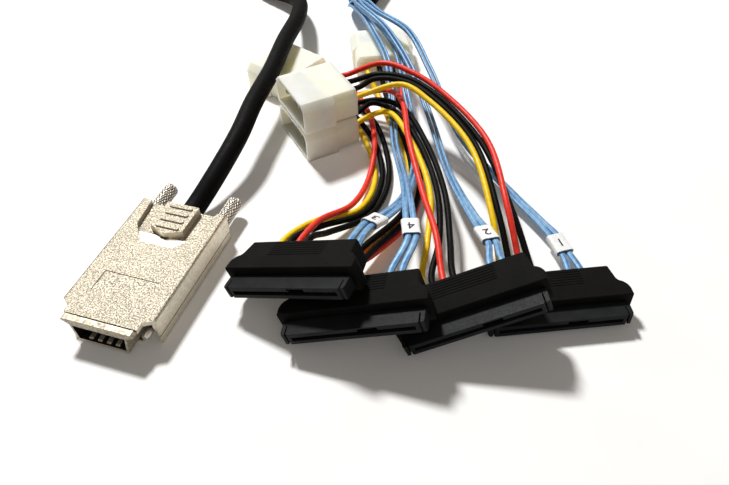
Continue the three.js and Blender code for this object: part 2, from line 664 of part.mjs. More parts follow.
for (const name of ['a', 'b', 'c', 'd']) {
  const drive = drives.find((d) => d.name === name);
  const [sideSlot, layer] = bootSlots[name];
  const route = ribbonRoutes[name].map(([x, y, z]) => v(x, y, z));
  for (const half of [-1, 1]) {
    const bx = bootX + sideSlot * (ribbonPitch + 0.05) + half * ribbonPitch / 2;
    const bz = bootZ + (layer ? 1.35 : -1.35);
    const start = v(bx, bootY - bootLength - gap, bz);
    const startOut = v(bx, bootY - bootLength - 6, bz);
    const dx = ribbonEntry + half * ribbonPitchAtDrive / 2;
    const end = v(dx, hoodBack + gap, 0).applyMatrix4(drive.matrix);
    const endOut = v(ribbonEntry + half * 1.6, hoodBack + 4, 0).applyMatrix4(drive.matrix);
    const lats = route.map(() => half * ribbonPitch / 2);
    const points = [start, startOut, ...strand(route, lats, route.map(() => 0)), endOut, end];
    addMesh(assembly, `ribbon_${name}_${half < 0 ? 'left' : 'right'}`, tube(points, ribbonSection, ribbonSteps), ribbonBlue);
  }
}

// main cable from the plug to the coil, the coil itself, its tail and the breakout boot
const cableSection = ovalShape(cableRadius, cableRadius, 10);
const cablePoints = [[0, plugLength - cableInset, cableHeight], [0.2, 46, cableHeight], [2.2, 58, 9], [3, 75, 13], [1, 92, 14.6],
  [-1, 112, 14.8], [-4.5, 133, 14.8], [-11, 159, 12], [-22, 180, 7], [-41, 193, 4], [-57.5, 205, 3.6], [-64.2, 214.5, 3.6], [-65.0, 220.6, 3.6]];
addMesh(assembly, 'cable_main', tube(cablePoints.map(([x, y, z]) => v(x, y, z)), cableSection, 30), cableBlack);

const coilHeight = 2 * cableRadius * coilTurns;
const coilProfile = roundedSection(cableRadius, 0, coilHeight, 2.6);
const coilPoints = coilProfile.getPoints(2).map((p) => new THREE.Vector2(p.x + coilRadius, p.y));
if (coilPoints[0].distanceTo(coilPoints[coilPoints.length - 1]) > 1e-6) coilPoints.push(coilPoints[0].clone());
const coilRing = new THREE.LatheGeometry(coilPoints, 30);
coilRing.rotateX(Math.PI / 2);
const coilMesh = addMesh(assembly, 'cable_coil', geometryOf(solid(coilRing)), cableBlack);
coilMesh.position.set(coilX, coilY, 0);

const bootSection = roundedSection(bootWidth / 2, bootZ - bootHeight / 2, bootZ + bootHeight / 2, 2.2);
const bootBar = alongY(bootSection, bootY - bootLength, bootY);
const bootPlan = shapeOf([[-bootWidth / 2, bootY - bootLength], [bootWidth / 2, bootY - bootLength], [bootWidth / 2, bootY - 7],
  [cableRadius + 1.2, bootY], [-cableRadius - 1.2, bootY], [-bootWidth / 2, bootY - 7]]);
const boot = addMesh(assembly, 'breakout_boot', geometryOf(bootBar.intersect(raised(bootPlan, -1, bootZ + bootHeight))), hoodBlack);
boot.position.x = bootX;

const tailPoints = [[bootX, bootY + gap, bootZ], [bootX, bootY + 4, bootZ], [bootX - 0.2, bootY + 8.6, bootZ + 0.3]];
addMesh(assembly, 'cable_tail', tube(tailPoints.map(([x, y, z]) => v(x, y, z)), cableSection, 3), cableBlack);

// white marking sleeves slid over each pair of strands behind the drive connector
for (const name of ['a', 'b', 'c', 'd']) {
  const route = ribbonRoutes[name].map(([x, y, z]) => v(x, y, z));
  const at = route[route.length - 1];
  const before = route[route.length - 2];
  const along = at.clone().sub(before).normalize();
  const halfWidth = ribbonPitch / 2 + ribbonWidth / 2 + sleeveClearance + sleeveWall;
  const halfHeight = ribbonThickness / 2 + sleeveClearance + sleeveWall;
  const outer = alongY(roundedSection(halfWidth, -halfHeight, halfHeight, halfHeight * 0.9), -sleeveLength / 2, sleeveLength / 2, 3);
  const inner = alongY(roundedSection(halfWidth - sleeveWall, -halfHeight + sleeveWall, halfHeight - sleeveWall, (halfHeight - sleeveWall) * 0.8),
    -sleeveLength, sleeveLength, 3);
  const sleeve = addMesh(assembly, `sleeve_${name}`, geometryOf(outer.subtract(inner)), sleeveWhite);
  const side = new THREE.Vector3().crossVectors(along, up).normalize();
  const top = new THREE.Vector3().crossVectors(side, along);
  sleeve.quaternion.setFromRotationMatrix(new THREE.Matrix4().makeBasis(side, along, top));
  sleeve.position.copy(at.clone().addScaledVector(along, -sleeveLength * 0.62));
}

export default assembly;
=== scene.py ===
import math
import bmesh
import bpy
import numpy as np
from mathutils import Matrix, Vector


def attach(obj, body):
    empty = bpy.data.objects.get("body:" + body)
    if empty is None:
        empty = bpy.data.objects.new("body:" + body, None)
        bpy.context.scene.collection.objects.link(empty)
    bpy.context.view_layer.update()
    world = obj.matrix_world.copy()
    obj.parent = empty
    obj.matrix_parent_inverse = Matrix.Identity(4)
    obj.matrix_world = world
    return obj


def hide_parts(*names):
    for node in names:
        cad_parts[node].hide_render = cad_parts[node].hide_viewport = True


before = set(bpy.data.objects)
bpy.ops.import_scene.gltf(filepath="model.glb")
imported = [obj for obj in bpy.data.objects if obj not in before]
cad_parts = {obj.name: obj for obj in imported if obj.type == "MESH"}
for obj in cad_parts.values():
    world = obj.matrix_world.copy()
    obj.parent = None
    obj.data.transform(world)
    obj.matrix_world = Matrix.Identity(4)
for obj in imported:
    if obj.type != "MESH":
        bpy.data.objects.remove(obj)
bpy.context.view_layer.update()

mm = 0.001
cableSet = "cable_set"


def addObject(name, data):
    obj = bpy.data.objects.new(name, data)
    bpy.context.scene.collection.objects.link(obj)
    return obj


# camera: the photographer stood in front and to the right, looking down at 45 degrees

viewpoint = {"place": (105.6, -93.2, 155.0), "heading": 19.51, "down": 45.15, "roll": -1.86, "lens": 35.38,
             "filmWidth": 36, "nearest": 0.01, "farthest": 10}


def placeCamera():
    data = bpy.data.cameras.new("photoCamera")
    data.lens, data.sensor_width = viewpoint["lens"], viewpoint["filmWidth"]
    data.clip_start, data.clip_end = viewpoint["nearest"], viewpoint["farthest"]
    camera = addObject("photoCamera", data)
    turn = Matrix.Rotation(math.radians(viewpoint["heading"]), 4, "Z")
    turn = turn @ Matrix.Rotation(math.radians(90 - viewpoint["down"]), 4, "X")
    turn = turn @ Matrix.Rotation(math.radians(viewpoint["roll"]), 4, "Z")
    camera.matrix_world = Matrix.Translation([v * mm for v in viewpoint["place"]]) @ turn
    bpy.context.scene.camera = camera
    bpy.context.scene.view_settings.view_transform = "Standard"


placeCamera()
print("camera placed")


# materials

noiseSpan = (0.3, 0.7)  # nearly all values of a noise lie between these


def toLinear(hexColour):  # sRGB hex to the linear values Blender works in
    parts = np.array([int(hexColour[i:i + 2], 16) for i in (1, 3, 5)]) / 255
    linear = np.where(parts <= 0.04045, parts / 12.92, ((parts + 0.055) / 1.055) ** 2.4)
    return (*[float(v) for v in linear], 1.0)


# inputs: socket name -> value, or the socket that it is linked from
def addNode(tree, kind, inputs=None, **settings):
    node = tree.nodes.new(kind)
    for key, value in settings.items():
        setattr(node, key, value)
    for key, value in (inputs or {}).items():
        if isinstance(value, bpy.types.NodeSocket):
            tree.links.new(value, node.inputs[key])
        else:
            node.inputs[key].default_value = value
    return node


def startMaterial(name, inputs):
    material = bpy.data.materials.new(name)
    material.use_nodes = True
    tree = material.node_tree
    tree.nodes.clear()
    shader = addNode(tree, "ShaderNodeBsdfPrincipled", inputs)
    addNode(tree, "ShaderNodeOutputMaterial", {"Surface": shader.outputs["BSDF"]})
    place = addNode(tree, "ShaderNodeTexCoord").outputs["Object"]
    return material, tree, shader, place


# Noise with features of about the given size: its scale counts them per metre.
def grainNoise(tree, place, sizeInMm, detail=2.0, roughness=0.5):
    noise = addNode(tree, "ShaderNodeTexNoise", {"Vector": place, "Scale": 1000 / sizeInMm,
                                                 "Detail": detail, "Roughness": roughness})
    return noise.outputs["Fac"]


def ramp(tree, factor, dark, light, span=noiseSpan):  # colour that runs from dark to light over the span
    node = addNode(tree, "ShaderNodeValToRGB", {"Fac": factor})
    for element, position, colour in zip(node.color_ramp.elements, span, (dark, light)):
        element.position, element.color = position, toLinear(colour)
    return node.outputs["Color"]


def mixColours(tree, factor, first, second):
    mixed = addNode(tree, "ShaderNodeMix", {"Factor": factor, "A": first, "B": second}, data_type="RGBA")
    return mixed.outputs["Result"]


def setColour(tree, shader, colour):
    tree.links.new(colour, shader.inputs["Base Color"])


def setRoughness(tree, shader, noise, atLow, atHigh):  # roughness in the hollows and on the heights
    least, most = noiseSpan
    spread = addNode(tree, "ShaderNodeMapRange", {"Value": noise, "From Min": least, "From Max": most,
                                                  "To Min": atLow, "To Max": atHigh})
    tree.links.new(spread.outputs["Result"], shader.inputs["Roughness"])


def setBump(tree, shader, height, strength, depthMm):
    bump = addNode(tree, "ShaderNodeBump", {"Height": height, "Strength": strength, "Distance": depthMm * mm})
    tree.links.new(bump.outputs["Normal"], shader.inputs["Normal"])


# zinc die casting, bead blasted and nickel plated: a warm silver that sparkles grain by grain
def blastedZinc():
    material, tree, shader, place = startMaterial("beadBlastedNickel", {"Metallic": 1.0})
    grain = grainNoise(tree, place, 0.42, 3.0, 0.6)  # blast pits about 0.2 mm, drawn at 0.42 to show
    patches = grainNoise(tree, place, 6.0)
    speck = ramp(tree, grain, "#4c473d", "#cec6b5", (0.38, 0.66))
    tint = ramp(tree, patches, "#6f695d", "#7f786a", (0.35, 0.65))
    setColour(tree, shader, mixColours(tree, 0.5, tint, speck))
    setRoughness(tree, shader, grain, 0.66, 0.5)
    setBump(tree, shader, grain, 0.7, 0.1)
    return material


# nickel over metal as cast or drawn: cloudy and faintly pitted
def satinNickel(name, dark, light, rough):
    material, tree, shader, place = startMaterial(name, {"Metallic": 1.0})
    clouds = grainNoise(tree, place, 0.9, 3.0)
    setColour(tree, shader, ramp(tree, clouds, dark, light))
    setRoughness(tree, shader, clouds, rough + 0.07, rough - 0.07)
    setBump(tree, shader, clouds, 0.3, 0.04)
    return material


# turned and knurled steel, nickel plated, with painted shade darkening the valleys
def knurledSteel():
    material, tree, shader, place = startMaterial("knurledSteel", {"Metallic": 1.0})
    wear = grainNoise(tree, place, 0.5)
    crest = ramp(tree, wear, "#b5afa4", "#e0dbd0")
    valley = addNode(tree, "ShaderNodeAttribute", attribute_name="valley").outputs["Fac"]
    # the valley marks blend in a dark colour: painted shade in the knurl
    setColour(tree, shader, mixColours(tree, valley, crest, toLinear("#4d4840")))
    setRoughness(tree, shader, wear, 0.5, 0.36)
    setBump(tree, shader, wear, 0.2, 0.03)
    return material


# moulded black plastics differ by their skin: grain size, depth and gloss
def mouldedBlack(name, dark, light, grainMm, depth, rough, specular=0.45):
    material, tree, shader, place = startMaterial(name, {"IOR": 1.5, "Specular IOR Level": specular})
    skin = grainNoise(tree, place, grainMm, 3.0, 0.6)
    clouds = grainNoise(tree, place, 5.0)
    setColour(tree, shader, ramp(tree, clouds, dark, light, (0.35, 0.68)))
    setRoughness(tree, shader, skin, rough + 0.06, rough - 0.06)
    setBump(tree, shader, skin, depth, 0.05)
    return material


# contact springs: gold flash on phosphor bronze
def goldFlash():
    material, tree, shader, place = startMaterial("goldFlash", {"Metallic": 1.0})
    wear = grainNoise(tree, place, 0.4)
    setColour(tree, shader, ramp(tree, wear, "#a58d55", "#cdb67c"))
    setRoughness(tree, shader, wear, 0.36, 0.24)
    return material


# circuit board: epoxy glass under green solder mask
def solderMask():
    material, tree, shader, place = startMaterial("solderMask", {"IOR": 1.5})
    weave = grainNoise(tree, place, 0.6)
    setColour(tree, shader, ramp(tree, weave, "#183d24", "#245a35"))
    setRoughness(tree, shader, weave, 0.42, 0.3)
    setBump(tree, shader, weave, 0.1, 0.02)
    return material


# natural nylon 66, injection moulded and unfilled: milky, lets light through its thin walls
def naturalNylon():
    material, tree, shader, place = startMaterial("naturalNylon", {
        "IOR": 1.53, "Specular IOR Level": 0.3, "Subsurface Weight": 0.85,
        "Subsurface Radius": (0.005, 0.0044, 0.003), "Subsurface Scale": 1.0})
    flow = grainNoise(tree, place, 7.0)
    fine = grainNoise(tree, place, 0.5)
    setColour(tree, shader, ramp(tree, flow, "#fbf4da", "#fffbe8", (0.32, 0.68)))
    setRoughness(tree, shader, fine, 0.42, 0.3)
    setBump(tree, shader, fine, 0.12, 0.03)
    return material


# wire insulation and cable jacket: extruded PVC, satin and faintly uneven
def wirePvc(name, dark, light, rough=0.42, specular=0.3):
    material, tree, shader, place = startMaterial(name, {"IOR": 1.52, "Specular IOR Level": specular})
    skin = grainNoise(tree, place, 1.4)
    setColour(tree, shader, ramp(tree, skin, dark, light))
    setRoughness(tree, shader, skin, rough + 0.05, rough - 0.05)
    setBump(tree, shader, skin, 0.12, 0.06)
    return material


# data strand: clear blue polyester film wrapped in a slant over bright foil, so pale streaks run along it
def blueFilm():
    material, tree, shader, _ = startMaterial("blueFilmOverFoil", {
        "Metallic": 0.15, "IOR": 1.5, "Specular IOR Level": 0.3})
    strip = addNode(tree, "ShaderNodeUVMap", uv_map="strip").outputs["UV"]
    turned = addNode(tree, "ShaderNodeMapping", {"Vector": strip, "Rotation": (0, 0, 0.5)})
    wrap = addNode(tree, "ShaderNodeTexWave", {"Vector": turned.outputs["Vector"], "Scale": 0.13,
                                               "Distortion": 3.0, "Detail": 2.0, "Detail Scale": 1.5},
                   wave_type="BANDS", bands_direction="Y").outputs["Fac"]  # foil overlap about every 4 mm
    along = addNode(tree, "ShaderNodeMapping", {"Vector": strip, "Scale": (4.0, 0.09, 1.0)})
    streak = addNode(tree, "ShaderNodeTexNoise", {"Vector": along.outputs["Vector"], "Scale": 1.0,
                                                  "Detail": 3.0}).outputs["Fac"]
    film = ramp(tree, streak, "#2f689c", "#a9cde8", (0.36, 0.66))
    wrapTint = ramp(tree, wrap, "#4d86ba", "#7fb0da", (0.2, 0.8))
    setColour(tree, shader, mixColours(tree, 0.25, film, wrapTint))
    setRoughness(tree, shader, streak, 0.6, 0.42)
    setBump(tree, shader, wrap, 0.12, 0.06)
    return material


# marking sleeve: white satin polyester
def whiteSleeve():
    material, tree, shader, place = startMaterial("whiteSleeve", {"IOR": 1.5})
    skin = grainNoise(tree, place, 0.8)
    setColour(tree, shader, ramp(tree, skin, "#e9e9e7", "#f7f7f5"))
    setRoughness(tree, shader, skin, 0.6, 0.5)
    setBump(tree, shader, skin, 0.1, 0.02)
    return material


finishes = {
    "shell": blastedZinc(),
    "plated": satinNickel("platedTube", "#8f887a", "#c4bcab", 0.62),
    # walls: a lighter satin nickel, painted reflected light
    "wall": satinNickel("wallNickelPaintedLight", "#d2cab8", "#e6dfd0", 0.5),
    # ramp before the grip pad: a near-white nickel, a painted highlight
    "paintedHighlightFacet": satinNickel("facetNickelPaintedHighlight", "#f3eee3", "#faf6ec", 0.5),
    "knurled": knurledSteel(),
    "insulator": mouldedBlack("liquidCrystalPolymer", "#0c0c0d", "#16161a", 0.5, 0.15, 0.42),
    "board": solderMask(),
    "hood": mouldedBlack("overmouldedPvc", "#0a0a09", "#100f0f", 0.35, 0.45, 0.74, 0.07),
    "housing": mouldedBlack("glassFilledPolyester", "#101113", "#1a1c1e", 0.6, 0.25, 0.56, 0.13),
    "contact": goldFlash(),
    "nylon": naturalNylon(),
    "wire_yellow": wirePvc("yellowWirePvc", "#f5c400", "#ffdc1e"),
    "wire_red": wirePvc("redWirePvc", "#e02a1c", "#f8412e"),
    "wire_black": wirePvc("blackWirePvc", "#060606", "#0c0c0c", 0.5, 0.07),
    "ribbon": blueFilm(),
    "cable": wirePvc("blackCablePvc", "#050506", "#0a0a0b", 0.6, 0.06),
    "sleeve": whiteSleeve(),
}
print("materials made")


# meshes

def setFinish(mesh, slotName):
    mesh.materials.clear()
    mesh.materials.append(finishes[slotName])


def finishPiece(obj, slotName, body, *nodes):  # material, slot, body and the CAD nodes it stands for
    setFinish(obj.data, slotName)
    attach(obj, body)
    if nodes:
        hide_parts(*nodes)


# A surface is a grid of points, rows by columns by xyz. Columns close round; each quad joins a point to the
# next column and the next row. The ends are closed by one face each, unless the rows close too.
def gridSurface(name, points, sharpAngle=40.0, closedRows=False):
    points = np.asarray(points, float)
    rows, columns = points.shape[:2]
    index = np.arange(rows * columns).reshape(rows, columns)
    lower = index if closedRows else index[:-1]
    upper = np.roll(index, -1, 0) if closedRows else index[1:]
    quads = np.stack([lower, np.roll(lower, -1, 1), np.roll(upper, -1, 1), upper], -1).reshape(-1, 4)
    faces = quads.tolist()
    if not closedRows:
        faces += [index[0].tolist()[::-1], index[-1].tolist()]
    mesh = bpy.data.meshes.new(name)
    mesh.from_pydata(points.reshape(-1, 3).tolist(), [], faces)
    addStripMap(mesh, points, len(quads))
    work = bmesh.new()
    work.from_mesh(mesh)
    bmesh.ops.recalc_face_normals(work, faces=work.faces)
    work.to_mesh(mesh)
    work.free()
    mesh.shade_smooth()
    mesh.set_sharp_from_angle(angle=math.radians(sharpAngle))
    return addObject(name, mesh)


# The map "strip" unrolls a grid surface: u is millimetres round the first ring, v millimetres along the
# middle of the rings. The closing faces stay at 0.
def addStripMap(mesh, points, quadCount):
    rows, columns = points.shape[:2]
    along = np.concatenate([[0], np.cumsum(np.linalg.norm(np.diff(points.mean(1), axis=0), axis=1))]) / mm
    girth = np.linalg.norm(np.diff(points[0], axis=0, append=points[0][:1]), axis=1).sum() / mm
    u = np.arange(columns + 1) / columns * girth
    r, c = np.divmod(np.arange(quadCount), columns)
    rowUp = np.minimum(r + 1, rows - 1)
    corners = np.stack([np.stack([u[c], along[r]], -1), np.stack([u[c + 1], along[r]], -1),
                        np.stack([u[c + 1], along[rowUp]], -1), np.stack([u[c], along[rowUp]], -1)], 1)
    uv = np.zeros((len(mesh.loops), 2), np.float32)
    uv[:quadCount * 4] = corners.reshape(-1, 2)
    mesh.uv_layers.new(name="strip").data.foreach_set("uv", uv.ravel())


softening = {"weld": 4e-6, "flatWithin": 0.6, "edgeFrom": 28.0, "shadedSharpFrom": 42}  # metres, degrees


# A welded copy of a solid with every sharp edge rounded over the given width in millimetres.
def softenedCopy(name, node, width, segments):
    work = bmesh.new()
    work.from_mesh(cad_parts[node].data)
    bmesh.ops.remove_doubles(work, verts=work.verts, dist=softening["weld"])
    bmesh.ops.dissolve_limit(work, angle_limit=math.radians(softening["flatWithin"]), verts=work.verts,
                             edges=work.edges)
    limit = math.radians(softening["edgeFrom"])
    sharp = [e for e in work.edges if len(e.link_faces) == 2 and e.calc_face_angle(0) > limit]
    bmesh.ops.bevel(work, geom=sharp, offset=width * mm, offset_type="OFFSET", segments=segments, profile=0.5,
                    affect="EDGES", clamp_overlap=True)
    mesh = bpy.data.meshes.new(name)
    work.to_mesh(mesh)
    work.free()
    mesh.shade_smooth()
    mesh.set_sharp_from_angle(angle=math.radians(softening["shadedSharpFrom"]))
    obj = addObject(name, mesh)
    obj.modifiers.new("flatFaces", "WEIGHTED_NORMAL").keep_sharp = True
    return obj


def runAlong(points):  # length of the way from the first point to each point
    return np.concatenate([[0], np.cumsum(np.linalg.norm(np.diff(points, axis=0), axis=1))])


def routeLength(route):
    return float(np.linalg.norm(np.diff(route, axis=0), axis=1).sum())


def smoothStep(value, start, length):  # t = (value - start) / length, held between 0 and 1; t * t * (3 - 2t)
    t = np.clip((value - start) / length, 0, 1)
    return t * t * (3 - 2 * t)


# Centripetal Catmull-Rom: each span is a cubic through its two points whose end slopes come from the
# neighbours, knots spaced by the square root of the chord; then resampled at equal steps of length.
def smoothRoute(points, count, perSpan=24):
    p = np.asarray(points, float)
    wide = np.vstack([2 * p[0] - p[1], p, 2 * p[-1] - p[-2]])
    p0, p1, p2, p3 = (wide[k:len(wide) - 3 + k] for k in range(4))
    d0, d1, d2 = (np.sqrt(np.linalg.norm(b - a, axis=1))[:, None] for a, b in ((p0, p1), (p1, p2), (p2, p3)))
    m1 = d1 * ((p1 - p0) / d0 - (p2 - p0) / (d0 + d1) + (p2 - p1) / d1)
    m2 = d1 * ((p2 - p1) / d1 - (p3 - p1) / (d1 + d2) + (p3 - p2) / d2)
    t = np.linspace(0, 1, perSpan, endpoint=False)[None, :, None]
    cubic = (2 * p1 - 2 * p2 + m1 + m2)[:, None]
    square = (-3 * p1 + 3 * p2 - 2 * m1 - m2)[:, None]
    curve = (((cubic * t + square) * t + m1[:, None]) * t + p1[:, None]).reshape(-1, 3)
    curve = np.vstack([curve, p[-1]])
    run = runAlong(curve)
    at = np.linspace(0, run[-1], count)
    return np.stack([np.interp(at, run, curve[:, k]) for k in range(3)], 1)


# Tube: at each route point a ring, centre + across * a * cos(u) + top * b * sin(u), where across is
# level and square to the run and top is square to both. squareness flattens the ring's sides, and twist
# turns each ring about the run by its own angle.
def tubeRings(route, halfAcross, halfUp, sides, squareness=1.0, twist=0.0):
    route = np.asarray(route, float)
    tangent = np.gradient(route, axis=0)
    tangent /= np.linalg.norm(tangent, axis=1)[:, None]
    across = np.cross(tangent, [0, 0, 1.0])
    across /= np.linalg.norm(across, axis=1)[:, None]
    top = np.cross(across, tangent)
    cosine, sine = (np.broadcast_to(f(twist), len(route))[:, None] for f in (np.cos, np.sin))
    across, top = across * cosine + top * sine, top * cosine - across * sine
    u = np.linspace(0, 2 * np.pi, sides, endpoint=False)
    a = halfAcross * np.sign(np.cos(u)) * np.abs(np.cos(u)) ** squareness
    b = halfUp * np.sign(np.sin(u)) * np.abs(np.sin(u)) ** squareness
    return route[:, None] + across[:, None] * a[None, :, None] + top[:, None] * b[None, :, None]


# seats, repeated from the model: slot middle of each drive connector, wire-face middle of each power plug

driveSeats = {
    "a": {"place": (44.5, 14.6, 14.5), "yaw": -3.5, "tilt": 21.3},
    "b": {"place": (64.9, 10.0, 11.0), "yaw": 10.2, "tilt": 17.2},
    "c": {"place": (94.7, 20.2, 11.45), "yaw": 24.0, "tilt": 20.5},
    "d": {"place": (115.1, 34.0, 3.8), "yaw": 24.0, "tilt": 0.0},
}
powerSeats = {
    "d": {"place": (28.9, 106.4, 16.6), "yaw": -44.5},
    "c": {"place": (28.9, 106.4, 5.3), "yaw": -44.5},
    "a": {"place": (7.5, 123.8, 5.3), "yaw": -111.7},
    "b": {"place": (33.7, 141.0, 5.3), "yaw": -155.5},
}


def seatMatrix(seat):  # turn about Z, then tilt about the connector's own Y
    turn = Matrix.Rotation(math.radians(seat["yaw"]), 4, "Z")
    turn = turn @ Matrix.Rotation(math.radians(-seat.get("tilt", 0.0)), 4, "Y")
    return np.array(Matrix.Translation([v * mm for v in seat["place"]]) @ turn)


def placed(points, matrix):  # local millimetres to world metres
    points = np.asarray(points, float)
    return points * mm @ matrix[:3, :3].T + matrix[:3, 3]


# round cable: plug to coil, a turn and a half, then the tail into the boot

roundCable = {"radius": 3.3, "sides": 24, "steps": 420, "coilMiddle": (-31.0, 243.0), "coilRadius": 34.0,
              "coilHeight": 3.6, "tailHeight": 5.0, "tailBeside": 0.1, "layGap": 0.05, "bootEdge": 0.8}
coilTurn = {"end": 520, "step": 10.0, "riseFrom": 285, "riseOver": 60, "leaveFrom": 440,
            "leaveOver": 90}  # degrees
cableRoute = [(0, 35.8, 4.9), (0.2, 46, 4.9), (2.2, 58, 9), (3, 75, 13), (1, 92, 14.6), (-1, 112, 14.8),
              (-4.5, 133, 14.8), (-9, 158, 12.5), (-20, 181, 7), (-41, 193, 4), (-57.5, 205, 3.6),
              (-64.2, 214.5, 3.6), (-65.0, 222.0, 3.6), (-65.0, 232.0, 3.6)]
tailRoute = [(6.0, 221.0, 5.0), (6.0, 217.3, 5.0)]


# Coil: angle runs clockwise from the left side; height steps up one cable width over the crossing and
# comes down again beside the first turn, as the radius opens out to meet the tail.
def coilPoints():
    degrees = np.arange(0, coilTurn["end"], coilTurn["step"])
    middleX, middleY = roundCable["coilMiddle"]
    cableWidth = 2 * roundCable["radius"] + roundCable["layGap"]
    lift = cableWidth * smoothStep(degrees, coilTurn["riseFrom"], coilTurn["riseOver"])
    leave = np.clip((degrees - coilTurn["leaveFrom"]) / coilTurn["leaveOver"], 0, 1) * np.pi / 2
    radius = roundCable["coilRadius"] + (cableWidth + roundCable["tailBeside"]) * np.sin(leave)
    drop = cableWidth - (roundCable["tailHeight"] - roundCable["coilHeight"])
    height = roundCable["coilHeight"] + lift - drop * (1 - np.cos(leave))
    angle = np.pi - np.radians(degrees)
    return np.stack([middleX + radius * np.cos(angle), middleY + radius * np.sin(angle), height], 1)


def makeRoundCable():
    route = smoothRoute(np.vstack([cableRoute, coilPoints(), tailRoute]) * mm, roundCable["steps"])
    half = roundCable["radius"] * mm
    piece = gridSurface("roundCable", tubeRings(route, half, half, roundCable["sides"]))
    finishPiece(piece, "cable", cableSet, "cable_main", "cable_coil", "cable_tail")
    boot = softenedCopy("breakoutBoot", "breakout_boot", roundCable["bootEdge"], 3)
    finishPiece(boot, "hood", cableSet, "breakout_boot")
    print("round cable", round(routeLength(route), 3), "m")


makeRoundCable()


# power wires: four from each power plug to the left part of its drive connector

hoodBack = 16.6  # from a drive connector's slot to the back of its hood
middleOfFour = 1.5  # of places counted 0 to 3
wireSet = {"radius": 0.95, "sides": 14, "steps": 110, "pitch": 2.25, "middleLane": 1.6, "spreadAtPlug": 1.35,
           "plugPitch": 5.08, "plugDepth": 0.9, "plugRun": 5, "plugGather": 0.92,
           "driveEntry": -7.0, "drivePitch": 3.0, "driveRun": 5.5, "driveGather": 0.98, "driveDepth": 0.1}
wireRoutes = {  # rise: how far the wires have climbed one run behind the plug
    "d": {"centres": [(39, 113, 19), (50, 112, 20), (62, 106, 19), (80, 89.5, 16), (93, 65, 11)], "rise": 0},
    "c": {"centres": [(38, 112.8, 8.6), (48, 107, 11), (60, 90, 11.5), (71.5, 68, 11), (77.5, 50, 9.5)],
          "rise": 1.4},
    "a": {"centres": [(22.4, 120.4, 1.6), (35, 110, 1.3), (45, 94, 1.4), (50.5, 78, 1.4), (50, 62, 3),
                      (42.5, 47, 8)], "rise": 0},
    "b": {"centres": [(38.5, 130, 2.5), (46, 116, 1.4), (54.5, 101, 1.4), (61.5, 84, 1.4), (64, 66, 1.4),
                      (58.5, 44, 5)], "rise": 0},
}
wireKinds = {  # place at the drive connector, place at the power plug, slot
    "yellow": (0, 0, "wire_yellow"),
    "black_a": (1, 1, "wire_black"),
    "red": (2, 3, "wire_red"),
    "black_b": (3, 2, "wire_black"),
}
# Lane of each wire across its bundle at every centre point, the viewer's left first, and how far it is
# lifted there to ride over its neighbours.
wireLanes = {
    "a": {"yellow": ([0, 0, 0.5, 1, 1, 0.1], 0), "black_a": ([1, 1, 1.8, 2, 2, 1.4], 0),
          "red": ([3.2, 2.5, 1.2, 0, 0, 1.4], [2.5, 2.5, 2.5, 0.8, 1.2, 2.5]),
          "black_b": ([2.1, 3, 3, 3, 3, 3], 0)},
    "b": {"yellow": ([0, 0, 0.6, 0.9, 0.9, 0.8], 0), "black_a": ([1, 1, 1, 1, 1, 0.9], [0, 0, 1.2, 2, 2, 2]),
          "red": ([3.2, 2.5, 2.5, 2.3, 2.2, 2.2], [2.5, 2.5, 1.2, 0, 0, 0]),
          "black_b": ([2.1, 3, 3, 2.3, 2.2, 2.2], [0, 0, 0.6, 2, 2, 2])},
    "c": {"yellow": ([0, 0.1, 0.9, 1, 0.1], 0), "black_a": ([1, 1.1, 1.9, 2, 1.6], 0),
          "red": ([3.2, 2.4, 0.3, 0, 1.2], [2.5, 3.4, 2.4, 0.6, 2.2]),
          "black_b": ([2.1, 2.6, 2.9, 3, 3], 0)},
    "d": {"yellow": ([0, 0.2, 0.3, 0.3, 0.1], 0), "black_a": ([1, 1.2, 1.2, 1.1, 1], 0),
          "red": ([3.2, 3.1, 3, 2.9, 2.1], [2.5, 1.4, 0.6, 0.6, 2]),
          "black_b": ([2.1, 2.2, 2.1, 2.1, 2.9], 0)},
}
shortStarts = {("yellow", "c"), ("yellow", "d")}  # these head straight for the second centre, or they kink


# One cord of a bundle: centre points moved sideways (square to the run, level) and upwards.
def lanePoints(centres, sideways, upwards):
    centres = np.asarray(centres, float)
    run = np.vstack([centres[1] - centres[0], centres[2:] - centres[:-2], centres[-1] - centres[-2]])
    run[:, 2] = 0
    run /= np.linalg.norm(run, axis=1)[:, None]
    side = np.stack([-run[:, 1], run[:, 0], np.zeros(len(run))], 1)
    lift = np.zeros_like(centres)
    lift[:, 2] = upwards
    return centres + side * np.asarray(sideways, float)[:, None] + lift


def wireRoute(name, kind, atDrive, atPlug):  # out of the plug, along the lane, into the drive connector
    plugX = -(atPlug - middleOfFour) * wireSet["plugPitch"]
    driveX = wireSet["driveEntry"] + (atDrive - middleOfFour) * wireSet["drivePitch"]
    lanes, lift = wireLanes[name][kind]
    sideways = (np.array(lanes, float) - wireSet["middleLane"]) * wireSet["pitch"]
    sideways[0] *= wireSet["spreadAtPlug"]
    middle = lanePoints(wireRoutes[name]["centres"], sideways, lift) * mm
    if (kind, name) in shortStarts:
        middle = middle[1:]
    start = placed([(plugX, -wireSet["plugDepth"], 0),
                    (plugX * wireSet["plugGather"], wireSet["plugRun"], wireRoutes[name]["rise"])],
                   seatMatrix(powerSeats[name]))
    end = placed([(driveX * wireSet["driveGather"], hoodBack + wireSet["driveRun"], 0),
                  (driveX, hoodBack - wireSet["driveDepth"], 0)], seatMatrix(driveSeats[name]))
    return smoothRoute(np.vstack([start, middle, end]), wireSet["steps"])


def makeWires():
    half = wireSet["radius"] * mm
    for name in "abcd":
        for kind, (atDrive, atPlug, slotName) in wireKinds.items():
            route = wireRoute(name, kind, atDrive, atPlug)
            wire = "wire_" + kind + "_" + name
            piece = gridSurface(wire + "_insulation", tubeRings(route, half, half, wireSet["sides"]))
            finishPiece(piece, slotName, cableSet, wire)
    print("power wires made")


makeWires()


# data strands: two to each drive connector, from the boot

